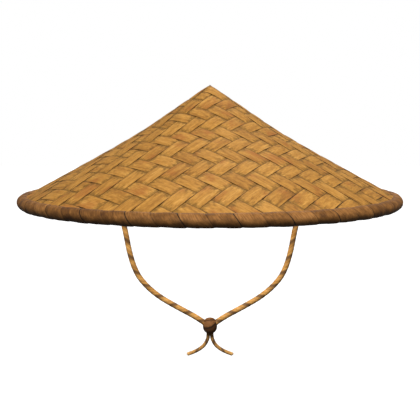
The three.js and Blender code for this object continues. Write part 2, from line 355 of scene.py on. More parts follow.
def piece_of(name, mesh, finish):
    """A shown object for a finished mesh, at the origin."""
    mesh.materials.clear()
    mesh.materials.append(finish)
    piece = bpy.data.objects.new(name, mesh)
    bpy.context.scene.collection.objects.link(piece)
    return piece


def tidy_mesh(mesh, gap=1e-6, crease=None):
    """Merges doubles and turns faces outwards, smooth but for edges past crease degrees."""
    shape = bmesh.new()
    shape.from_mesh(mesh)
    bmesh.ops.remove_doubles(shape, verts=shape.verts, dist=gap)
    bmesh.ops.dissolve_degenerate(shape, edges=shape.edges, dist=gap)
    bmesh.ops.recalc_face_normals(shape, faces=shape.faces)
    shape.to_mesh(mesh)
    shape.free()
    mesh.polygons.foreach_set("use_smooth", [True] * len(mesh.polygons))
    if crease is not None:
        mesh.set_sharp_from_angle(angle=math.radians(crease))
    mesh.update()


def skin(name, rows, finish, along_closed=False, facts=None, crease=None):
    """A closed piece over rows of points, each a closed loop, with facts at the points."""
    rows = np.asarray(rows, float)
    count, around = rows.shape[:2]
    faces = []
    for i in range(count if along_closed else count - 1):
        here, there = i * around, ((i + 1) % count) * around
        for j in range(around):
            k = (j + 1) % around
            faces.append((here + j, here + k, there + k, there + j))
    if not along_closed:
        last = (count - 1) * around
        faces.append(tuple(reversed(range(around))))
        faces.append(tuple(range(last, last + around)))
    mesh = bpy.data.meshes.new(name)
    mesh.from_pydata([tuple(p) for p in rows.reshape(-1, 3)], [], faces)
    for fact, values in (facts or {}).items():
        values = np.asarray(values, np.float32)
        kind, key = ("FLOAT_VECTOR", "vector") if values.ndim == 3 else ("FLOAT", "value")
        data = mesh.attributes.new(fact, kind, "POINT").data
        data.foreach_set(key, values.reshape(-1))
    tidy_mesh(mesh, crease=crease)
    return piece_of(name, mesh, finish)


def strip_place(along, around, number):
    """Where each point lies on a strip, for its grain, with the strip's own number."""
    along, around = np.broadcast_arrays(along, around)
    return np.stack([along, around, np.full(along.shape, float(number))], axis=-1)


def smooth_route(points, spacing):
    """A smooth line through the points, with even steps."""
    points = np.asarray(points, float)
    padded = np.vstack([2 * points[0] - points[1], points, 2 * points[-1] - points[-2]])
    line = []
    for a, b, c, d in zip(padded, padded[1:], padded[2:], padded[3:]):
        for t in np.linspace(0, 1, 12, endpoint=False):
            pull = 2 * b + (c - a) * t + (2 * a - 5 * b + 4 * c - d) * t**2
            line.append(0.5 * (pull + (3 * b - a - 3 * c + d) * t**3))
    line = np.array([*line, points[-1]])
    run = np.concatenate([[0], np.cumsum(np.linalg.norm(np.diff(line, axis=0), axis=1))])
    even = np.linspace(0, run[-1], max(2, round(run[-1] / spacing)) + 1)
    return np.stack([np.interp(even, run, line[:, i]) for i in range(3)], axis=1), even


# ---- Finishes ----


class Finish:
    """A material whose look is worked out by nodes."""

    def __init__(self, name, roughness=0.5):
        self.material = bpy.data.materials.new(name)
        self.material.use_nodes = True
        self.tree = self.material.node_tree
        self.shader = self.tree.nodes["Principled BSDF"]
        self.setting("Roughness", roughness)
        self.setting("Specular IOR Level", 0.14)

    def setting(self, name, value):
        set_input(self.tree, self.shader.inputs[name], value)

    def fact(self, name):
        """A number stored on the mesh's points."""
        node = add_node(self.tree, "ShaderNodeAttribute", attribute_name=name)
        return Number(self.tree, node.outputs["Fac"])

    def place(self, name):
        """A place stored on the mesh's points."""
        return add_node(self.tree, "ShaderNodeAttribute", attribute_name=name).outputs["Vector"]

    def own_place(self):
        return add_node(self.tree, "ShaderNodeTexCoord").outputs["Object"]

    def noise(self, place, scale, detail):
        """Noise stretched by a scale for each way."""
        inputs = {"Vector": place, "Scale": scale}
        stretched = add_node(self.tree, "ShaderNodeMapping", inputs).outputs[0]
        inputs = {"Vector": stretched, "Scale": 1.0, "Detail": detail, "Roughness": 0.55}
        node = add_node(self.tree, "ShaderNodeTexNoise", inputs)
        return Number(self.tree, node.outputs[0])

    def even_noise(self, scale, detail):
        return self.noise(self.own_place(), (scale, scale, scale), detail)

    def ramp(self, value, *stops):
        """A colour for each value: stops are (place, (red, green, blue))."""
        node = add_node(self.tree, "ShaderNodeValToRGB", {0: value})
        stripes = node.color_ramp.elements
        while len(stripes) < len(stops):
            stripes.new(0.5)
        for stripe, (where, colour) in zip(stripes, stops):
            stripe.position = where
            stripe.color = (*colour, 1.0)
        return node.outputs[0]

    def blend(self, share, first, second):
        """The first colour with a share of the second, a plain (red, green, blue), over it."""
        node = add_node(self.tree, "ShaderNodeMix", data_type="RGBA")
        for place, value in ((0, share), (6, first), (7, (*second, 1.0))):
            set_input(self.tree, node.inputs[place], value)
        return node.outputs[2]

    def colour(self, value):
        self.setting("Base Color", value)

    def roughness(self, value):
        self.setting("Roughness", value)

    def bump(self, height, distance, strength):
        inputs = {"Height": height, "Distance": distance, "Strength": strength}
        self.setting("Normal", add_node(self.tree, "ShaderNodeBump", inputs).outputs[0])


def linear(red, green, blue):
    """A screen colour, 0 to 255, as the shader's linear colour."""

    def one(value):
        value /= 255
        return value / 12.92 if value <= 0.04045 else ((value + 0.055) / 1.055) ** 2.4

    return one(red), one(green), one(blue)


def woven_strip_finish():
    """Dry golden splint: fibres along the strip, with painted shade where it dives under its
    neighbours and in the thin gaps along its sides.
    """
    look = Finish("woven_strip", 0.5)
    place = look.place("strip_place")
    fibre = look.noise(place, (90, 1500, 3.1), 4)
    streak = look.noise(place, (30, 260, 5.7), 4)
    mottle = look.noise(place, (240, 420, 7.9), 5)
    patch = look.noise(place, (34, 44, 9.3), 3)
    gold = look.ramp(
        streak * 0.5 + mottle * 0.4 + look.fact("tone") * 0.1,
        (0.3, linear(138, 92, 36)),
        (0.44, linear(176, 123, 50)),
        (0.54, linear(195, 140, 61)),
        (0.68, linear(216, 161, 80)),
    )
    red = look.blend(patch.step(0.54, 0.7) * 0.6, gold, linear(164, 96, 40))
    fibres = look.blend(fibre.step(0.6, 0.35) * 0.28, red, linear(110, 72, 26))
    # Painted shade, with some mottled dirt, darkens each float towards its ends, where it dives
    # under its neighbours.
    tuck_shade = (look.fact("lift") + (mottle - 0.5) * 2.6).step(1.0, 0.0)
    shaded = look.blend(tuck_shade * 0.62, fibres, linear(98, 74, 26))
    # Painted shade: a thin dark line along each strip's sides, in the gaps between strips.
    edge = look.fact("edge").step(0.915, 0.985)
    look.colour(look.blend(edge * 0.86, shaded, linear(40, 26, 12)))
    look.roughness(0.5 + fibre * 0.2)
    look.bump(fibre * 0.5 + mottle * 0.5, 0.0003, 0.6)
    return look.material


def rim_wrap_finish():
    """Brown cane wound round the rim: cloudy stain, with painted shade in the seams and on the
    underside.
    """
    look = Finish("rim_wrap", 0.5)
    place = look.place("strip_place")
    fibre = look.noise(place, (160, 900, 3.1), 4)
    cloud = look.noise(look.own_place(), (95, 95, 130), 5)
    brown = look.ramp(
        cloud * 0.55 + fibre * 0.25 + look.fact("tone") * 0.2,
        (0.3, linear(98, 62, 30)),
        (0.46, linear(134, 90, 44)),
        (0.6, linear(166, 114, 60)),
        (0.75, linear(184, 132, 76)),
    )
    fibres = look.blend(fibre.step(0.6, 0.35) * 0.35, brown, linear(66, 40, 20))
    # Painted shade: darker towards the underside of the rim's section.
    low = (look.fact("height") + (cloud - 0.5) * 0.55).step(0.5, -0.7)
    shaded = look.blend(low * 0.84, fibres, linear(33, 22, 11))
    # Painted shade in the seams between wraps.
    look.colour(look.blend(look.fact("seam_shade") * 0.95, shaded, linear(20, 13, 8)))
    look.roughness(0.45 + fibre * 0.25)
    look.bump(fibre * 0.4 + cloud * 0.6, 0.0006, 0.6)
    return look.material


def split_bamboo_finish():
    """Split bamboo: long fibres, pale skin and darker joints."""
    look = Finish("split_bamboo", 0.45)
    place = look.place("strip_place")
    fibre = look.noise(place, (18, 3200, 2.3), 4)
    streak = look.noise(place, (7, 700, 4.9), 3)
    skin_colour = look.ramp(
        streak,
        (0.3, linear(150, 108, 56)),
        (0.5, linear(186, 142, 82)),
        (0.72, linear(206, 166, 104)),
    )
    fibres = look.blend(fibre.step(0.6, 0.38) * 0.4, skin_colour, linear(116, 80, 42))
    look.colour(look.blend(look.fact("joint") * 0.75, fibres, linear(74, 46, 24)))
    look.roughness(0.38 + fibre * 0.25)
    look.bump(fibre, 0.0003, 0.6)
    return look.material


def lashing_finish():
    """Waxed brown thread with a fine twist."""
    look = Finish("lashing_cane", 0.55)
    fine = look.even_noise(1800, 3)
    look.colour(look.ramp(fine, (0.35, linear(58, 36, 20)), (0.65, linear(112, 74, 42))))
    look.bump(fine, 0.0002, 0.7)
    return look.material


def sweatband_finish():
    """Plain-woven natural cotton, with painted shade along its quilting creases."""
    look = Finish("sweatband_cloth", 0.85)
    along, up, _ = parts_of(look.tree, look.place("strip_place"))
    threads = FULL_TURN / 0.0011
    warp, weft = (along * threads).sin(), (up * threads).sin()
    weave = warp * weft * 0.5 + 0.5
    cloud = look.even_noise(45, 3)
    cloth = look.ramp(cloud, (0.3, linear(188, 152, 98)), (0.7, linear(222, 190, 138)))
    # Painted shade in the creases along the quilting.
    quilt = look.fact("quilt").step(0.16, 0.02)
    woven = look.blend(weave * 0.2, cloth, linear(150, 114, 70))
    look.colour(look.blend(quilt * 0.6, woven, linear(112, 80, 46)))
    look.bump(weave, 0.0003, 0.7)
    return look.material


def leather_finish():
    """Brown leather with a pebbled grain."""
    look = Finish("tab_leather", 0.55)
    grain = look.even_noise(900, 4)
    cloud = look.even_noise(160, 2)
    hide = look.ramp(cloud, (0.3, linear(84, 50, 28)), (0.7, linear(130, 84, 48)))
    grained = look.blend(grain.step(0.55, 0.35) * 0.5, hide, linear(52, 30, 18))
    burnished = look.fact("edge").step(0.8, 0.97)
    look.colour(look.blend(burnished * 0.7, grained, linear(46, 28, 16)))
    look.bump(grain, 0.0003, 0.6)
    return look.material


def chin_cord_finish():
    """Twisted fibre cord: golden, with a paler band and a darker one that run with its lay."""
    look = Finish("chin_cord", 0.5)
    place = look.place("strand_place")
    across, up, _ = parts_of(look.tree, place)
    turn = up.angle_over(across) / FULL_TURN
    fibre = look.noise(place, (1.4, 1.4, 500), 3)
    cloud = look.noise(place, (0.1, 0.1, 90), 2)
    gold = look.ramp(
        cloud,
        (0.3, linear(154, 109, 50)),
        (0.5, linear(180, 134, 70)),
        (0.72, linear(210, 162, 94)),
    )
    dark_strand = (0.5 - turn.size()).step(0.27, 0.06)
    pale_strand = (turn - 0.1).size().step(0.2, 0.05)
    two = look.blend(pale_strand * 0.3, gold, linear(160, 118, 76))
    three = look.blend(dark_strand * 0.86, two, linear(90, 67, 46))
    fibres = look.blend(fibre.step(0.6, 0.35) * 0.1, three, linear(98, 60, 26))
    # Painted shade under the bead on the tails, over an even stain along them.
    soiled_and_shaded = look.blend(look.fact("soiled_and_shaded") * 0.85, fibres, linear(40, 26, 13))
    cut = look.blend(look.fact("cut") * 0.7, soiled_and_shaded, linear(206, 164, 100))
    # Painted shade, with some dirt, in the grooves between strands.
    look.colour(look.blend(look.fact("groove_dirt_and_shade") * 0.5, cut, linear(66, 42, 20)))
    look.roughness(0.45 + fibre * 0.2)
    look.bump(fibre, 0.0001, 0.25)
    return look.material


def bead_finish():
    """Waxed dark wood with curved bands of grain, and painted shade over its lower half."""
    look = Finish("bead_wood", 0.65)
    x, _, z = parts_of(look.tree, look.own_place())
    high = z - BEAD_CENTRE[2]
    wander = look.even_noise(150, 3)
    fibre = look.noise(look.own_place(), (260, 260, 1500), 4)
    wood = look.ramp(
        fibre * 0.6 + wander * 0.4,
        (0.3, linear(83, 53, 30)),
        (0.5, linear(110, 75, 44)),
        (0.7, linear(125, 86, 53)),
    )
    bend = high - 0.0003 - x * 0.386 - x * x * 35.5 + (wander - 0.5) * 0.002
    # Painted shade: the bead's lower half, under the bent line, made darker.
    lower = look.blend(bend.step(0.0007, -0.0007) * 0.8, wood, linear(52, 33, 20))
    band = (bend + 0.0006).size().step(0.0019, 0.0006)
    banded = look.blend(band * 0.8, lower, linear(36, 26, 19))
    crown = (high - 0.0074 + x * x * 26.0 - x * 0.1).size().step(0.0011, 0.0003)
    look.colour(look.blend(crown * 0.7, banded, linear(33, 21, 13)))
    look.setting("Specular IOR Level", 0.08)
    look.bump(fibre, 0.00015, 0.5)
    return look.material


def thread_finish():
    """Pale waxed sewing thread."""
    look = Finish("sewing_thread", 0.6)
    fine = look.even_noise(2500, 2)
    look.colour(look.ramp(fine, (0.35, linear(120, 92, 60)), (0.65, linear(176, 144, 100))))
    look.bump(fine, 0.0001, 0.6)
    return look.material


# ---- Camera ----


def make_camera():
    data = bpy.data.cameras.new("camera")
    data.sensor_width = 36.0
    data.lens = CAMERA_LENS
    data.clip_end = 50.0
    camera = bpy.data.objects.new("camera", data)
    camera.location = CAMERA_PLACE
    camera.rotation_euler = (math.radians(90 - CAMERA_DIP), 0.0, 0.0)
    bpy.context.scene.collection.objects.link(camera)
    bpy.context.scene.camera = camera


# ---- Chin cord ----

CORD_DIAMETER = 0.0055
TAIL_DIAMETER = 0.0037
CORD_LAY = 0.0185
STRANDS = 3
CORD_WAY_ACROSS = np.array([0.0, 1.0, 0.0])  # square to the plane through both ears

# Routes in the plane through both ears, as (distance from the middle, height over the rim plane).
LEG_ROUTE = [
    (0.1020, 0.0076),
    (0.1009, -0.0010),
    (0.0996, -0.0100),
    (0.0980, -0.0190),
    (0.0962, -0.0280),
    (0.0944, -0.0365),
    (0.0926, -0.0460),
    (0.0905, -0.0570),
    (0.0879, -0.0675),
    (0.0846, -0.0775),
    (0.0800, -0.0870),
    (0.0735, -0.0956),
    (0.0650, -0.1040),
    (0.0545, -0.1120),
    (0.0430, -0.1190),
    (0.0310, -0.1257),
    (0.0195, -0.1320),
    (0.0115, -0.1370),
    (0.0056, -0.1412),
]
TAIL_ROUTE = [
    (0.0020, -0.1476),
    (0.0020, -0.1532),
    (0.0024, -0.1580),
    (0.0044, -0.1630),
    (0.0072, -0.1670),
    (0.0110, -0.1702),
    (0.0155, -0.1729),
    (0.0205, -0.1751),
    (0.0252, -0.1768),
]


def in_ear_plane(route, side):
    return [(side * x, 0.0, z + RIM_PLANE) for x, z in route]


BEAD_CENTRE = box_middle("chin_bead")
BEAD_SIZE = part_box("chin_bead")[1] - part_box("chin_bead")[0]


def strand_facts(twist, run, lobe):
    """What a cord's look follows: the place round it and along it, and its grooves, for their
    painted shade and dirt.
    """
    place = np.stack([np.cos(twist), np.sin(twist), run + 0 * twist], axis=-1)
    return {"strand_place": place, "groove_dirt_and_shade": np.clip(1 - lobe * 2.2, 0, 1)}


def sections(line, count):
    """The angles round a cord's section, and the way out at each, all along its line."""
    up = np.cross(heading(line), CORD_WAY_ACROSS)
    angle = full_turn(count)[None, :]
    across = np.cos(angle)[..., None] * CORD_WAY_ACROSS
    return angle, across + np.sin(angle)[..., None] * up[:, None, :]


def twisted_cord(name, points, diameter, finish, side, soiled_and_shaded=0.0):
    """A cord of twisted strands along a route in the ear plane, and the line that it follows."""
    line, run = smooth_route(points, diameter * 0.13)
    angle, outward = sections(line, 36)
    tighter = (CORD_DIAMETER / diameter) ** 0.5
    twist = angle - side * FULL_TURN * run[:, None] / CORD_LAY * tighter
    lobe = np.abs(np.cos(STRANDS * twist / 2))
    radius = diameter / 2 * (1.06 + 0.07 * lobe**0.7)
    rows = line[:, None, :] + outward * radius[..., None]
    from_bead, from_cut = run[:, None], run[-1] - run[:, None]
    # The tail's darkening: an even stain all along, and painted shade under the bead, strongest
    # where the tail comes out of it.
    stain = soiled_and_shaded * (0.22 + 0.78 * np.exp(-((from_bead / 0.015) ** 2)))
    cut = soiled_and_shaded * np.exp(-((from_cut / 0.003) ** 2))
    facts = strand_facts(twist, run[:, None] + 0.37 * side, lobe)
    facts.update({"soiled_and_shaded": stain + 0 * lobe, "cut": cut + 0 * lobe})
    return skin(name, rows, finish, facts=facts), line


def frayed_tip(name, line, diameter, finish, side):
    """Loose fibres at a cord's cut end."""
    rng = np.random.default_rng(SEED + side)
    forward = line[-1] - line[-4]
    forward /= np.linalg.norm(forward)
    up = np.cross(forward, CORD_WAY_ACROSS)
    shape = bmesh.new()
    for _ in range(26):
        angle, share = rng.uniform(0, FULL_TURN), rng.uniform(0.1, 0.85) ** 0.5
        out = (math.cos(angle) * CORD_WAY_ACROSS + math.sin(angle) * up) * share
        root = line[-1] + out * diameter * 0.45 - forward * 0.0008
        length = rng.uniform(0.0012, 0.0026)
        tip = root + forward * length + out * length * rng.uniform(0.05, 0.4)
        way = Vector(tip - root)
        turn = way.to_track_quat("Z", "Y").to_matrix().to_4x4()
        place = Matrix.Translation((Vector(root) + Vector(tip)) / 2) @ turn
        sizes = {"radius1": 0.00022, "radius2": 0.00006, "depth": way.length}
        bmesh.ops.create_cone(shape, cap_ends=True, segments=6, matrix=place, **sizes)
    mesh = bpy.data.meshes.new(name)
    shape.to_mesh(mesh)
    shape.free()
    mesh.polygons.foreach_set("use_smooth", [True] * len(mesh.polygons))
    return piece_of(name, mesh, finish)


def knot_rows(centre, reach, radius):
    """A trefoil tube, which is how an overhand knot closes up, lying round the Z axis."""
    t = full_turn(96)
    x, y = np.sin(t) + 2 * np.sin(2 * t), np.cos(t) - 2 * np.cos(2 * t)
    path = np.stack([x, y, -1.3 * np.sin(3 * t)], axis=1) * (reach - radius) / 3.0
    forward = np.roll(path, -1, axis=0) - np.roll(path, 1, axis=0)
    forward /= np.linalg.norm(forward, axis=1, keepdims=True)
    side = np.cross(forward, [0.0, 0.0, 1.0])
    side /= np.linalg.norm(side, axis=1, keepdims=True)
    up = np.cross(side, forward)
    angle = full_turn(16)[None, :]
    outward = np.cos(angle)[..., None] * side[:, None, :]
    outward = outward + np.sin(angle)[..., None] * up[:, None, :]
    run = np.arange(len(t))[:, None] / len(t)
    twist = angle - FULL_TURN * 5 * run
    lobe = np.abs(np.cos(STRANDS * twist / 2))
    tube = radius * (0.88 + 0.12 * lobe)
    rows = np.array(centre) + path[:, None, :] + outward * tube[..., None]
    return rows, strand_facts(twist, run * 0.09, lobe)


def make_knot(name, node, finish, height, reach):
    """A knot at a CAD knot's place, in place of it."""
    centre = box_middle(node)
    centre.z = height
    rows, facts = knot_rows(centre, reach, reach * 0.42)
    knot = skin(name, rows, finish, along_closed=True, facts=facts)
    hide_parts(node)
    return knot


def make_cord_root(side_name, finish):
    """The short fixed end of the cord in its tab, with a stopper knot over it."""
    name, node = f"cord_end_{side_name}", f"cord_root_{side_name}"
    low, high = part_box(node)
    x = box_middle(node).x
    points = [(x, 0, low.z + up) for up in (0.0, 0.0015, 0.003, 0.005)]
    thickness = CORD_DIAMETER * 0.97
    stub, _ = twisted_cord(f"{name}_stub", points, thickness, finish, SIDES[side_name])
    reach = (high.x - low.x) / 2
    knot = make_knot(f"{name}_knot", node, finish, high.z - reach * 0.93, reach * 1.04)
    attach(stub, "hat")
    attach(knot, "hat")
    return stub, knot


def make_chin_cord(finish):
    """Both legs and both tails, what is knotted in them, and a collection of all that hangs."""
    hanging = bpy.data.collections.new("hanging")
    bead = make_bead(bead_finish())
    hanging.objects.link(bead)
    for side_name, side in SIDES.items():
        route = in_ear_plane(LEG_ROUTE, side)
        leg, leg_line = twisted_cord(f"chin_leg_{side_name}", route, CORD_DIAMETER, finish, side)
        name, route = f"chin_tail_{side_name}", in_ear_plane(TAIL_ROUTE, side)
        tail, tail_line = twisted_cord(name, route, TAIL_DIAMETER, finish, side, soiled_and_shaded=1.0)
        tip = frayed_tip(f"tail_fibres_{side_name}", tail_line, TAIL_DIAMETER, finish, side)
        node = f"hanging_knot_{side_name}"
        low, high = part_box(node)
        reach = (high.x - low.x) / 2
        knot = make_knot(f"leg_knot_{side_name}", node, finish, (low.z + high.z) / 2, reach)
        root = make_cord_root(side_name, finish)
        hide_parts(f"cord_leg_{side_name}")
        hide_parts(f"cord_tail_{side_name}")
        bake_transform(leg)
        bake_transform(tail)
        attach(tip, "chin_cord")
        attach(knot, "chin_cord")
        for piece in (leg, tail, tip):
            hanging.objects.link(piece)
    return hanging


def make_bead(finish):
    """A turned wooden ball with a mouth for each leg and each tail."""
    mesh = bpy.data.meshes.new("wooden_bead")
    shape = bmesh.new()
    bmesh.ops.create_uvsphere(shape, u_segments=64, v_segments=40, radius=0.5)
    for vert in shape.verts:
        flat = math.hypot(vert.co.x, vert.co.y)
        if flat > 1e-6:
            fuller = (1 - abs(2 * vert.co.z) ** BEAD_SQUARENESS) ** (1 / BEAD_SQUARENESS)
            vert.co.x *= 0.5 * fuller / flat
            vert.co.y *= 0.5 * fuller / flat
    plump = (BEAD_SIZE.x * 1.05, BEAD_SIZE.y * 1.05, BEAD_SIZE.z * 0.98)
    bmesh.ops.scale(shape, verts=shape.verts, vec=plump)
    bmesh.ops.translate(shape, verts=shape.verts, vec=BEAD_CENTRE)
    shape.to_mesh(mesh)
    shape.free()
    bead = piece_of("wooden_bead", mesh, finish)
    cutters = [bead_drill(side) for side in SIDES.values()]
    for cutter in cutters:
        cut = bead.modifiers.new("mouth", "BOOLEAN")
        cut.operation = "DIFFERENCE"
        cut.solver = "EXACT"
        cut.object = cutter
    graph = bpy.context.evaluated_depsgraph_get()
    drilled = bpy.data.meshes.new_from_object(bead.evaluated_get(graph))
    bead.modifiers.clear()
    bead.data = drilled
    drilled.name = "wooden_bead"
    for cutter in cutters:
        bpy.data.objects.remove(cutter)
    drilled.polygons.foreach_set("use_smooth", [True] * len(drilled.polygons))
    drilled.set_sharp_from_angle(angle=math.radians(35))
    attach(bead, "bead")
    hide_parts("chin_bead")
    return bead


def bead_drill(side):
    """A bent drill: in by the leg, out by the tail."""
    leg = [np.array(point) for point in in_ear_plane(LEG_ROUTE[-3:], side)]
    inner = leg[-1] + (leg[-1] - leg[-2]) * 0.3
    x, _, top = in_ear_plane(TAIL_ROUTE[:1], side)[0]
    bottom = in_ear_plane(TAIL_ROUTE[1:2], side)[0][2]
    exit_line = [(x, 0.0, top + 0.003), (x, 0.0, bottom - 0.006)]
    entry = drill_rows([*leg, inner], CORD_DIAMETER / 2 + 0.00022)
    leave = drill_rows(exit_line, TAIL_DIAMETER / 2 + 0.0002)
    first = skin(f"leg_drill_{side}", entry, None)
    second = skin(f"tail_drill_{side}", leave, None)
    shape = bmesh.new()
    shape.from_mesh(first.data)
    shape.from_mesh(second.data)
    shape.to_mesh(first.data)
    shape.free()
    bpy.data.objects.remove(second)
    return first


def drill_rows(points, radius):
    points = np.asarray(points, float)
    return points[:, None, :] + sections(points, 24)[1] * radius


# ---- Woven cone ----


def profile_parts():
    """Start along the slope, start radius, start height, cosine and sine of each straight slope."""
    parts, run = [], 0.0
    for (r0, z0), (r1, z1) in zip(CONE_PROFILE, CONE_PROFILE[1:]):
        length = math.hypot(r1 - r0, z1 - z0)
        parts.append((run, r0, z0 + RIM_PLANE, (r1 - r0) / length, (z0 - z1) / length))
        run += length
    return parts


def on_profile(run):
    """Radius and height at a distance along the slope, as node numbers, with soft breaks."""
    soft = 0.0008
    radii = [(run - s) * cosine + r for s, r, z, cosine, sine in profile_parts()]
    heights = [(run - s) * -sine + z for s, r, z, cosine, sine in profile_parts()]
    radius, height = radii[0], heights[0]
    for other_radius, other_height in zip(radii[1:], heights[1:]):
        radius = radius.soft_at_least(other_radius, soft)
        height = height.soft_at_least(other_height, soft)
    return radius, height


def crossing_side(strip, cell):
    """1 where the strip passes over at this crossing, and -1 where it passes under."""
    ahead = cell.above(-0.5)
    number = (cell + 0.5).size() - 0.5
    over = (strip + number).modulo(4.0).below(1.5)
    return (over * 2.0 - 1.0) * (ahead * 2.0 - 1.0)


def weave_builder():
    """One family of parallel strips of the plait, bent onto the cone."""
    plan = Builder(
        "weave_strips",
        reach=PLAIT_REACH,
        strip_width=STRIP_WIDTH,
        fill=STRIP_FILL,
        thickness=STRIP_THICKNESS,
        lift=STRIP_LIFT,
        depth=0.0009,
        turn=0.0,
        family=0.0,
    )
    points = plan.add("GeometryNodePoints", {"Count": STRIPS}).outputs[0]
    cube_inputs = {"Size": (2.0, 1.0, 1.0), "Vertices X": 181, "Vertices Y": 9, "Vertices Z": 2}
    cube = plan.add("GeometryNodeMeshCube", cube_inputs).outputs[0]
    inputs = {"Points": points, "Instance": cube}
    copies = plan.add("GeometryNodeInstanceOnPoints", inputs).outputs[0]
    copies = plan.store(copies, "strip", plan.index(), domain="INSTANCE")
    strips = plan.add("GeometryNodeRealizeInstances", {"Geometry": copies}).outputs[0]
    position = plan.add("GeometryNodeInputPosition").outputs[0]
    x, y, z = parts_of(plan.tree, position)
    strips = plan.store(strips, "lengthwise", x)
    strips = plan.store(strips, "widthwise", y)
    strips = plan.store(strips, "through", z)

    strip = plan.read("strip")
    lengthwise, widthwise, through = map(plan.read, ("lengthwise", "widthwise", "through"))
    pitch = plan.size("strip_width")
    width = pitch * plan.size("fill")
    reach = plan.size("reach")
    wobble = (lengthwise * 23.0 + strip * 2.3 + plan.size("family")).sin() * 0.0001
    line = (strip + 0.5) * pitch + widthwise * width + wobble
    line = line.at_least(0.00015).at_most(reach - 0.0006)
    along = -lengthwise * (reach * reach - line * line).root()
    cell_place = along / pitch
    cell = (cell_place - 0.5).floor()
    share = cell_place - 0.5 - cell
    here = crossing_side(strip, cell)
    there = crossing_side(strip, cell + 1.0)
    swing = 0.5 - (share * math.pi).cos() * 0.5
    crown = here * (here * there + 1.0) * 0.5 * (share * math.pi).sin()
    rise = here + (there - here) * swing + crown * 0.4

    flat_run = (line * line + along * along).root()
    # The plait is drawn in a little halfway down the slope and let out again at the rim.
    part = flat_run / 0.22
    run = flat_run + part * part * (part * 0.063 - 0.054)
    radius, height = on_profile(run)
    radius_on, height_on = on_profile(run + 0.0005)
    radius_back, height_back = on_profile(run - 0.0005)
    slope_out = (radius_on - radius_back) * 1000.0
    slope_up = (height_on - height_back) * 1000.0
    camber = widthwise * widthwise * -0.0009
    offset = rise * plan.size("lift") + camber + through * plan.size("thickness")
    offset = offset - plan.size("depth")
    far = (radius - slope_up * offset).at_least(0.00002)
    high = height + slope_out * offset
    azimuth = along.angle_over(line) / UNROLLED_SHARE + plan.size("turn")
    spot = plan.vector(far * azimuth.cos(), far * azimuth.sin(), high)

    number = strip + plan.size("family") * 20.0
    grain = plan.vector(along, widthwise * width, number)
    strips = plan.store(strips, "lift", rise)
    strips = plan.store(strips, "edge", widthwise.size() * 2.0)
    strips = plan.store(strips, "tone", plan.random(0.0, 1.0, SEED, number))
    strips = plan.store(strips, "strip_place", grain, data_type="FLOAT_VECTOR")
    plan.finish(plan.place(strips, spot))
    return plan


def make_woven_cone(finish):
    plan = weave_builder()
    for family in range(3):
        turn = math.radians(PLAIT_TURN - 150 + 120 * family)
        strips = plan.make(f"twill_strips_{family + 1}", finish, turn=turn, family=float(family))
        for spare in ("lengthwise", "widthwise", "through", "strip"):
            strips.data.attributes.remove(strips.data.attributes[spare])
        tidy_mesh(strips.data, gap=1e-7, crease=40)
        on_hat(strips, "woven_strip", *(["woven_cone"] if family == 0 else []))


# ---- Rim ----


def rim_builder():
    """A strip wound slantwise round the rim, one wrap beside the next."""
    plan = Builder(
        "rim_wraps",
        wraps=float(RIM_WRAPS),
        ring=RIM_RADIUS,
        tube=RIM_TUBE,
        slant=0.18,
        height=RIM_PLANE,
    )
    steps, around = 16, 32
    grid_inputs = {"Size X": 1.0, "Size Y": 1.0}
    grid_inputs["Vertices X"] = RIM_WRAPS * steps + 1
    grid_inputs["Vertices Y"] = around + 1
    sheet = plan.add("GeometryNodeMeshGrid", grid_inputs).outputs[0]
    x, y, _ = parts_of(plan.tree, plan.add("GeometryNodeInputPosition").outputs[0])
    sheet = plan.store(sheet, "lengthwise", x + 0.5)
    sheet = plan.store(sheet, "roundwise", y + 0.5)
    place = plan.read("lengthwise") * plan.size("wraps") + 0.0001
    wrap = place.floor()
    evened = place - wrap
    share = 0.5 - (evened * math.pi).cos() * 0.5
    round_angle = plan.read("roundwise") * FULL_TURN
    seam_number = place.rounded()
    strong = 1.0 - seam_number.modulo(2.0) * 0.62
    near = 0.5 - (share - 0.5).size()
    # Painted shade in the grooves between wraps, strong and faint by turns.
    seam_shade = near.step(0.045, 0.004) * strong
    shoulder = near.step(0.0, 0.07)
    crown = 1.0 - (share * 2.0 - 1.0) * (share * 2.0 - 1.0)
    swell = plan.random(0.6, 1.4, SEED, wrap)
    shingle = (share - 0.5) * 0.00045 * shoulder
    inset = 0.00062 - shoulder * strong * 0.00034 - crown * swell * 0.00022 - shingle
    section = plan.size("tube") - inset
    angle = (wrap + share - round_angle.sin() * plan.size("slant")) * FULL_TURN
    angle = angle / plan.size("wraps")
    out = plan.size("ring") + section * round_angle.cos()
    high = plan.size("height") + section * round_angle.sin()
    spot = plan.vector(out * angle.cos(), out * angle.sin(), high)
    sheet = plan.store(sheet, "tone", plan.random(0.0, 1.0, SEED + 1, wrap))
    sheet = plan.store(sheet, "seam_shade", seam_shade)
    # The height round the section, which the finish uses for painted shade on the underside.
    sheet = plan.store(sheet, "height", round_angle.sin())
    grain = plan.vector(round_angle * plan.size("tube"), share * 0.0245, wrap)
    sheet = plan.store(sheet, "strip_place", grain, data_type="FLOAT_VECTOR")
    plan.finish(plan.place(sheet, spot))
    return plan


def make_rim(finish, bamboo):
    binding = rim_builder().make("wound_rim_binding", finish)
    for spare in ("lengthwise", "roundwise"):
        binding.data.attributes.remove(binding.data.attributes[spare])
    tidy_mesh(binding.data, gap=2e-5)
    on_hat(binding, "rim_wrap", "rim_binding")
    make_hoop("rim_core_hoop", "rim_hoop", bamboo, 1)
    frame["nodes"]["rim_splint"].data.materials.clear()
    frame["nodes"]["rim_splint"].data.materials.append(bamboo)


# ---- Ribs, hoops and crown boss ----


def joint_bump(run, first, spacing):
    """1 at each joint of the bamboo and 0 between them."""
    from_joint = (np.asarray(run) - first) % spacing
    from_joint = np.minimum(from_joint, spacing - from_joint)
    return np.exp(-((from_joint / 0.0011) ** 2))


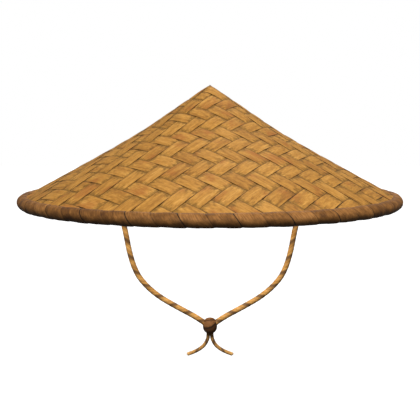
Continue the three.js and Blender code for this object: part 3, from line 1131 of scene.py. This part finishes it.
def make_hoop(name, node, finish, number):
    """A round bamboo hoop with its joints, in place of a CAD hoop."""
    ring, height, tube = ring_of(node)
    angle, around = full_turn(240)[:, None], full_turn(16)[None, :]
    length = FULL_TURN * ring
    run = angle / FULL_TURN * length
    spacing = length / max(3, round(length / HOOP_JOINT_SPACING))
    joint = joint_bump(run, 0.3 * spacing * (number % 3), spacing)
    thick = tube * (0.94 + 0.06 * joint)
    rows = turned(ring + thick * np.cos(around), height + thick * np.sin(around), angle)
    facts = {
        "strip_place": strip_place(run, around * tube, number),
        "joint": np.broadcast_to(joint, rows.shape[:2]),
    }
    piece = skin(name, rows, finish, along_closed=True, facts=facts)
    on_hat(piece, "split_bamboo", node)


def under_cone(radius, depth):
    """Height at a radius of the surface a given depth under the cone's upper face."""
    for (r0, z0), (r1, z1) in zip(CONE_PROFILE, CONE_PROFILE[1:]):
        if radius <= r1:
            break
    slope = (z1 - z0) / (r1 - r0)
    return z0 + (radius - r0) * slope - depth * math.hypot(1, slope) + RIM_PLANE


def rib_rows(angle):
    """Rows of a half-round rib under the cone at one angle, and what its grain follows."""
    radii = np.linspace(RIB_START, RIB_END, 120)
    top = np.array([under_cone(r, RIB_TOP_DEPTH) for r in radii])
    padded = np.pad(top, 5, mode="reflect", reflect_type="odd")
    top = np.convolve(padded, np.ones(11) / 11, "valid")
    run = np.concatenate([[0], np.cumsum(np.hypot(np.diff(radii), np.diff(top)))])
    section = full_turn(20)
    wide = RIB_WIDTH / 2 * rounded_square(np.cos(section), 0.55)
    crown, belly = np.maximum(np.sin(section), 0), np.maximum(-np.sin(section), 0)
    deep = (0.32 * crown**0.4 - 0.68 * belly**0.8 - 0.32) * RIB_THICKNESS
    joint = joint_bump(run, 0.02 + 0.012 * (angle % 1), RIB_JOINT_SPACING)
    swell = (1 + 0.07 * joint)[:, None]
    ends = np.clip(np.minimum(run, run[-1] - run) / 0.002, 0.35, 1)[:, None] ** 0.5
    slope = np.gradient(top, radii)[:, None]
    length = np.hypot(1, slope)
    out = radii[:, None] - slope / length * deep * swell
    high = top[:, None] + deep / length * swell
    side = wide * swell * ends
    x = out * math.cos(angle) - side * math.sin(angle)
    y = out * math.sin(angle) + side * math.cos(angle)
    return np.stack([x, y, high], axis=-1), run[:, None], wide[None, :], joint[:, None]


def make_ribs(finish):
    for number in range(RIB_COUNT):
        rows, run, wide, joint = rib_rows(FULL_TURN * (number + 0.5) / RIB_COUNT)
        facts = {
            "strip_place": strip_place(run, wide, 30 + number),
            "joint": np.broadcast_to(joint, rows.shape[:2]),
        }
        rib = skin(f"bamboo_rib_{number + 1}", rows, finish, facts=facts, crease=60)
        on_hat(rib, "split_bamboo", f"rib_{number + 1}")


def turned_piece(name, node, profile, finish, number, count=96):
    """A closed profile of (radius, height) points turned round the axis, for a CAD node."""
    radius, height = np.asarray(profile, float).T
    angle = full_turn(count)[:, None]
    along = angle * radius.max() + 0 * height
    facts = {
        "strip_place": strip_place(along, height + 0 * angle, number),
        "joint": 0 * along,
    }
    rows = turned(radius, height, angle)
    piece = skin(name, rows, finish, along_closed=True, facts=facts, crease=50)
    on_hat(piece, "split_bamboo", node)


def make_frame_hoops(finish):
    for number, node in enumerate(("crown_hoop", "middle_hoop", "outer_hoop"), start=2):
        make_hoop(f"bamboo_{node}", node, finish, number)


def make_crown_boss(finish):
    low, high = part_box("crown_boss")
    reach = high.x
    shoulder = under_cone(reach, 0.0021)
    tiny = 0.00002
    profile = [
        (tiny, high.z),
        (reach * 0.5, (high.z + shoulder) / 2),
        (reach - 0.0006, shoulder + 0.0003),
        (reach, shoulder - 0.0005),
        (reach, low.z + 0.004),
        (reach - 0.0008, low.z + 0.0034),
        (reach - 0.0008, low.z + 0.0026),
        (reach, low.z + 0.002),
        (reach - 0.0006, low.z + 0.0007),
        (reach - 0.0024, low.z),
        (reach * 0.45, low.z + 0.0004),
        (tiny, low.z + 0.0009),
    ]
    turned_piece("turned_crown_boss", "crown_boss", profile, finish, 11)


# ---- Head ring ----


def make_head_ring(finish):
    for number, node in enumerate(("ring_upper_hoop", "ring_lower_hoop"), start=6):
        make_hoop(f"bamboo_{node}", node, finish, number)
    low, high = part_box("ring_band")
    wall, soft = 0.002, 0.0005
    outer, inner = high.x, high.x - wall
    profile = [
        (inner, low.z + soft),
        (inner + soft, low.z),
        (outer - soft, low.z),
        (outer, low.z + soft),
        (outer, low.z + 0.006),
        (outer - 0.0004, low.z + 0.0066),
        (outer, low.z + 0.0072),
        (outer, high.z - 0.0072),
        (outer - 0.0004, high.z - 0.0066),
        (outer, high.z - 0.006),
        (outer, high.z - soft),
        (outer - soft, high.z),
        (inner + soft, high.z),
        (inner, high.z - soft),
    ]
    turned_piece("bamboo_ring_band", "ring_band", profile, finish, 9, count=192)


def lashing_builder():
    """Crossed turns of thread over a rib and the hoop under it, at every rib."""
    plan = Builder(
        "rib_lashings",
        count=float(RIB_COUNT),
        ring=0.0948,
        height=0.0,
        tilt=0.5,
        half_width=0.0050,
        half_depth=0.0042,
        thread=0.00048,
    )
    thread = plan.size("thread")
    upright = plan.rounded_loop(plan.size("half_width"), plan.size("half_depth"), 0.0018, 4)
    turns = plan.add("GeometryNodeJoinGeometry")
    for way in (-1, 1):
        for step in (-1, 0, 1):
            shift = plan.vector(0.0, thread * (1.9 * step), 0.0)
            beside = plan.moved(upright, Translation=shift)
            crossed = plan.moved(beside, Rotation=(0.0, 0.0, way * math.pi / 4))
            plan.tree.links.new(crossed, turns.inputs[0])
    section = plan.add("GeometryNodeCurvePrimitiveCircle", {"Resolution": 6, "Radius": thread})
    inputs = {"Curve": turns.outputs[0], "Profile Curve": section.outputs[0]}
    cord = plan.add("GeometryNodeCurveToMesh", inputs).outputs[0]
    tilted = plan.moved(cord, Rotation=plan.vector(0.0, plan.size("tilt"), 0.0))
    plan.finish_round_ring(tilted, first=0.5)
    return plan


def make_lashings(finish):
    """Lashings at each hoop. Those of the head ring stand for the CAD ones."""
    plan = lashing_builder()
    for node in ("crown_hoop", "ring_upper_hoop", "middle_hoop", "outer_hoop"):
        ring, hoop_middle, tube = ring_of(node)
        slope = (under_cone(ring + 0.001, 0) - under_cone(ring - 0.001, 0)) / 0.002
        length = math.hypot(1, slope)
        lift = (RIB_THICKNESS + 0.0003) / 2
        piece = plan.make(
            f"lashings_{node}",
            finish,
            ring=ring - slope / length * lift,
            height=hoop_middle + lift / length,
            tilt=math.atan(-slope),
            half_depth=tube + lift + 0.0006,
        )
        tidy_mesh(piece.data, gap=1e-7)
        stands_for = range(RIB_COUNT) if node == "ring_upper_hoop" else ()
        on_hat(piece, "lashing_cane", *[f"ring_lashing_{i + 1}" for i in stands_for])


def lacing_builder():
    """Flat loops of cane that lace a hoop to the edge of the ring band."""
    plan = Builder(
        "ring_lacing",
        count=60.0,
        ring=0.095,
        height=0.0,
        half_width=0.0024,
        half_height=0.0042,
        slant=0.35,
    )
    upright = plan.rounded_loop(plan.size("half_width"), plan.size("half_height"), 0.0019, 5)
    leaned = plan.moved(upright, Rotation=plan.vector(plan.size("slant"), 0.0, 0.0))
    kind = "GeometryNodeCurvePrimitiveQuadrilateral"
    section = plan.add(kind, {"Width": 0.0005, "Height": 0.0023}).outputs[0]
    inputs = {"Curve": leaned, "Profile Curve": section}
    cane = plan.add("GeometryNodeCurveToMesh", inputs).outputs[0]
    plan.finish_round_ring(cane, first=0.5)
    return plan


def make_lacing(finish):
    plan = lacing_builder()
    band_low, band_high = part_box("ring_band")
    for node, edge in (("ring_lower_hoop", band_low.z), ("ring_upper_hoop", band_high.z)):
        ring, height, tube = ring_of(node)
        inward = 1 if edge > height else -1
        far = height - inward * (tube + 0.0004)
        near = edge + inward * 0.0035
        piece = plan.make(
            f"lacing_{node}",
            finish,
            ring=ring,
            height=(far + near) / 2,
            half_width=tube + 0.00035,
            half_height=abs(near - far) / 2,
            slant=0.35 * inward,
        )
        tidy_mesh(piece.data, gap=1e-7, crease=40)
        on_hat(piece, "lashing_cane")


# ---- Sweatband ----


def band_rows(outer, low, high):
    """A closed ring of padded cloth: each row is its section, plump between the quilting."""
    share = np.linspace(0, 1, 13)
    edge = np.sqrt(np.clip(1 - (2 * share - 1) ** 2, 0, 1))
    middle, half = (BAND_INSIDE + outer) / 2, (outer - BAND_INSIDE) / 2
    angle = full_turn(BAND_COLUMNS)[:, None]
    quilt = np.abs(np.sin(angle * BAND_QUILTS / 2))
    inward = middle - half * edge - BAND_PLUMPNESS * quilt**0.8 * edge**0.7
    outward = np.broadcast_to(middle + half * edge[-2:0:-1], (BAND_COLUMNS, len(share) - 2))
    radius = np.concatenate([inward, outward], axis=1)
    height = low + (high - low) * np.concatenate([share, share[-2:0:-1]])[None, :]
    facts = {
        "strip_place": strip_place(angle * BAND_INSIDE, height, 50),
        "quilt": quilt + 0 * height,
    }
    return turned(radius, height, angle), facts


def puff_up(piece, pinned):
    """Cloth with pressure inside, held at its seams. Gives where its points end up."""
    group = piece.vertex_groups.new(name="seams")
    group.add([int(i) for i in pinned], 1.0, "REPLACE")
    settings = piece.modifiers.new("cloth", "CLOTH").settings
    settings.vertex_group_mass = "seams"
    settings.use_pressure = True
    settings.uniform_pressure_force = 4.0
    settings.mass = 0.0008
    settings.tension_stiffness = 0.5
    settings.compression_stiffness = 0.5
    settings.bending_stiffness = 0.01
    settings.effector_weights.gravity = 0.0
    scene = bpy.context.scene
    for step in range(1, PUFF_STEPS + 1):
        scene.frame_set(step)
    graph = bpy.context.evaluated_depsgraph_get()
    puffed = np.array([v.co for v in piece.evaluated_get(graph).data.vertices])
    piece.modifiers.clear()
    piece.vertex_groups.clear()
    scene.frame_set(1)
    return puffed


def make_sweatband(finish, thread):
    """A padded cotton band, quilted across and sewn along both edges."""
    low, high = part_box("sweatband")
    outer = high.x - 0.0002
    rows, facts = band_rows(outer, low.z, high.z)
    band = skin("padded_sweatband", rows, finish, along_closed=True, facts=facts)
    start = np.array([v.co for v in band.data.vertices])
    bearing = np.arctan2(start[:, 1], start[:, 0]) / FULL_TURN * BAND_QUILTS
    on_quilt = np.abs(bearing - np.round(bearing)) < 0.02
    on_hem = np.minimum(start[:, 2] - low.z, high.z - start[:, 2]) < BAND_HEM
    move = puff_up(band, np.nonzero(on_quilt | on_hem)[0]) - start
    size = np.linalg.norm(move, axis=1, keepdims=True)
    final = start + move * np.minimum(1, BAND_MOST_PUFF / np.maximum(size, 1e-9))
    radius = np.hypot(final[:, 0], final[:, 1])
    final[:, :2] *= (np.clip(radius, BAND_SMALLEST_INSIDE, outer) / radius)[:, None]
    band.data.vertices.foreach_set("co", final.reshape(-1))
    band.data.update()
    rounder = band.modifiers.new("rounder", "SUBSURF")
    rounder.levels = 1
    rounder.render_levels = 1
    on_hat(band, "sweatband_cloth", "sweatband")
    make_band_stitches(thread, outer, low.z, high.z)


def stitch_builder():
    """Short threads round a circle, standing a little proud of the cloth."""
    plan = Builder(
        "stitches", count=180.0, ring=0.0895, height=0.0, length=0.0021, thread=0.0003, middle=0.0
    )
    inputs = {"Segments": 8, "Rings": 6, "Radius": 0.5}
    capsule = plan.add("GeometryNodeMeshUVSphere", inputs).outputs[0]
    thick = plan.size("thread") * 2.0
    stitch = plan.moved(capsule, Scale=plan.vector(thick, plan.size("length"), thick))
    plan.finish_round_ring(stitch, middle=plan.size("middle"))
    return plan


def make_band_stitches(thread, outer, low, high):
    plan = stitch_builder()
    middle, half = (BAND_INSIDE + outer) / 2, (outer - BAND_INSIDE) / 2
    for name, height in (("lower", low + STITCH_FROM_EDGE), ("upper", high - STITCH_FROM_EDGE)):
        share = (height - low) / (high - low)
        edge = math.sqrt(1 - (2 * share - 1) ** 2)
        ring = middle - half * edge - BAND_PLUMPNESS * 0.75 * edge**0.7 - 0.0001
        piece = plan.make(f"sweatband_stitches_{name}", thread, ring=ring, height=height)
        tidy_mesh(piece.data, gap=1e-7)
        on_hat(piece, "lashing_cane")


# ---- Leather tabs ----


def tab_rows(low, high, side):
    """A strap down the ring's lower hoop that turns outwards to take the cord."""
    inner, outer = sorted((abs(low.x), abs(high.x)))
    points = [
        (inner + 0.0006, 0.0, high.z - 0.0002),
        (inner + 0.0006, 0.0, low.z + 0.0080),
        (inner + 0.0007, 0.0, low.z + 0.0040),
        (inner + 0.0014, 0.0, low.z + 0.0018),
        (inner + 0.0034, 0.0, low.z + 0.0011),
        (outer - 0.0002, 0.0, low.z + 0.0011),
    ]
    line, run = smooth_route(points, 0.0004)
    forward = heading(line)
    outward = np.stack([-forward[:, 2], forward[:, 1], forward[:, 0]], axis=-1)
    end = np.minimum(run, run[-1] - run)[:, None]
    corner = TAB_CORNER - np.minimum(end, TAB_CORNER)
    half = (high.y - low.y) / 2 - TAB_CORNER + np.sqrt(TAB_CORNER**2 - corner**2 * 0.98)
    shelf = np.clip((run - 0.011) / 0.004, 0, 1)[:, None]
    thick = (0.00054 + 0.00048 * shelf) * np.clip(0.5 + end / 0.0008, 0, 1) ** 0.5
    section = full_turn(36)[None, :]
    wide = rounded_square(np.cos(section), 0.4) * half
    deep = rounded_square(np.sin(section), 0.5) * thick
    rows = line[:, None, :] + outward[:, None, :] * deep[..., None]
    rows[..., 1] += wide
    rows[..., 0] *= side
    border = np.maximum(np.abs(wide) / half, 1 - 0.2 * end / 0.0014)
    return rows, border


def make_tabs(finish, thread):
    """Leather tabs on the head ring, sewn round the hole that the cord goes through."""
    plan = stitch_builder()
    sizes = {"count": 20.0, "ring": 0.0047, "length": 0.0010, "thread": 0.00022}
    tabs = {}
    for side_name, side in SIDES.items():
        node = f"cord_tab_{side_name}"
        low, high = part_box(node)
        rows, border = tab_rows(low, high, side)
        tab = skin(f"leather_tab_{side_name}", rows, finish, facts={"edge": border})
        hole = box_middle(f"hanging_knot_{side_name}").x
        for face, height in (("under", low.z - 0.0001), ("upper", low.z + 0.0022)):
            name = f"tab_stitches_{face}_{side_name}"
            ring = plan.make(name, thread, height=height, middle=hole, **sizes)
            tidy_mesh(ring.data, gap=1e-7)
            on_hat(ring, "lashing_cane")
        on_hat(tab, "tab_leather", node)
        tabs[side_name] = tab
    return tabs


# ---- Floor and light ----


def make_stage():
    """A pale floor far below, which shines no light back up under the brim."""
    mesh = bpy.data.meshes.new("floor")
    far, depth = 90.0, -3.0
    corners = [(x * far, y * far, depth) for x, y in ((-1, -1), (1, -1), (1, 1), (-1, 1))]
    mesh.from_pydata(corners, [], [(0, 1, 2, 3)])
    look = Finish("pale_floor", 0.9)
    look.colour((0.9, 0.9, 0.9, 1.0))
    look.setting("Specular IOR Level", 0.0)
    look.setting("Emission Color", (1.0, 1.0, 1.0, 1.0))
    look.setting("Emission Strength", 0.8)
    floor = piece_of("floor", mesh, look.material)
    floor.visible_diffuse = False
    floor.visible_glossy = False


def make_world():
    """White behind the hat; soft light from above and hardly any from below."""
    world = bpy.data.worlds.new("studio")
    bpy.context.scene.world = world
    world.use_nodes = True
    tree = world.node_tree
    where = add_node(tree, "ShaderNodeTexCoord").outputs["Generated"]
    _, back, up = parts_of(tree, where)
    front = back.step(0.8, -0.4) * 0.6 + 0.4
    glow = up.step(-0.3, 0.6) * front * 0.75 + 0.25
    eye = Number(tree, add_node(tree, "ShaderNodeLightPath").outputs["Is Camera Ray"])
    strength = eye + (1.0 - eye) * glow * WORLD_GLOW
    background = tree.nodes["Background"]
    background.inputs[0].default_value = (1.0, 1.0, 1.0, 1.0)
    set_input(tree, background.inputs[1], strength)


def add_light(name, location, size, power):
    data = bpy.data.lights.new(name, "AREA")
    data.shape = "DISK"
    data.size = size
    data.energy = power
    data.color = WARM_WHITE
    light = bpy.data.objects.new(name, data)
    light.location = location
    light.rotation_euler = (-Vector(location)).to_track_quat("-Z", "Y").to_euler()
    bpy.context.scene.collection.objects.link(light)
    light.visible_camera = False
    return light


def make_lights(hanging):
    """Soft light from the front and above. The brim doesn't shade the cord, which has its own."""
    resting = bpy.data.collections.new("resting")
    inside = bpy.data.collections.new("inside")
    for piece in bpy.context.scene.objects:
        if piece.type == "MESH" and piece.name not in hanging.objects:
            resting.objects.link(piece)
            if piece.name not in ("floor", "wound_rim_binding"):
                inside.objects.link(piece)
    for light in (
        add_light("key_light", (-0.5, -2.2, 1.35), 0.9, 33.0),
        add_light("fill_light", (1.6, -1.7, 1.2), 1.0, 21.0),
        add_light("back_light", (0.2, 1.9, 2.2), 1.4, 20.0),
    ):
        light.light_linking.receiver_collection = resting
    cord_light = add_light("cord_light", (-0.45, -1.25, 1.75), 0.3, 96.0)
    cord_light.light_linking.receiver_collection = hanging
    cord_light.light_linking.blocker_collection = hanging
    under_light = add_light("under_light", (0.3, 0.3, -1.7), 1.2, 36.0)
    under_light.light_linking.receiver_collection = inside
    make_world()
    bpy.context.scene.view_settings.view_transform = "Standard"


make_camera()
sewing_thread = thread_finish()
leather_tabs = make_tabs(leather_finish(), sewing_thread)
cord_pieces = make_chin_cord(chin_cord_finish())
make_woven_cone(woven_strip_finish())
bamboo = split_bamboo_finish()
cane = lashing_finish()
make_rim(rim_wrap_finish(), bamboo)
make_ribs(bamboo)
make_frame_hoops(bamboo)
make_crown_boss(bamboo)
make_head_ring(bamboo)
make_lashings(cane)
make_lacing(cane)
make_sweatband(sweatband_finish(), sewing_thread)
make_stage()
make_lights(cord_pieces)
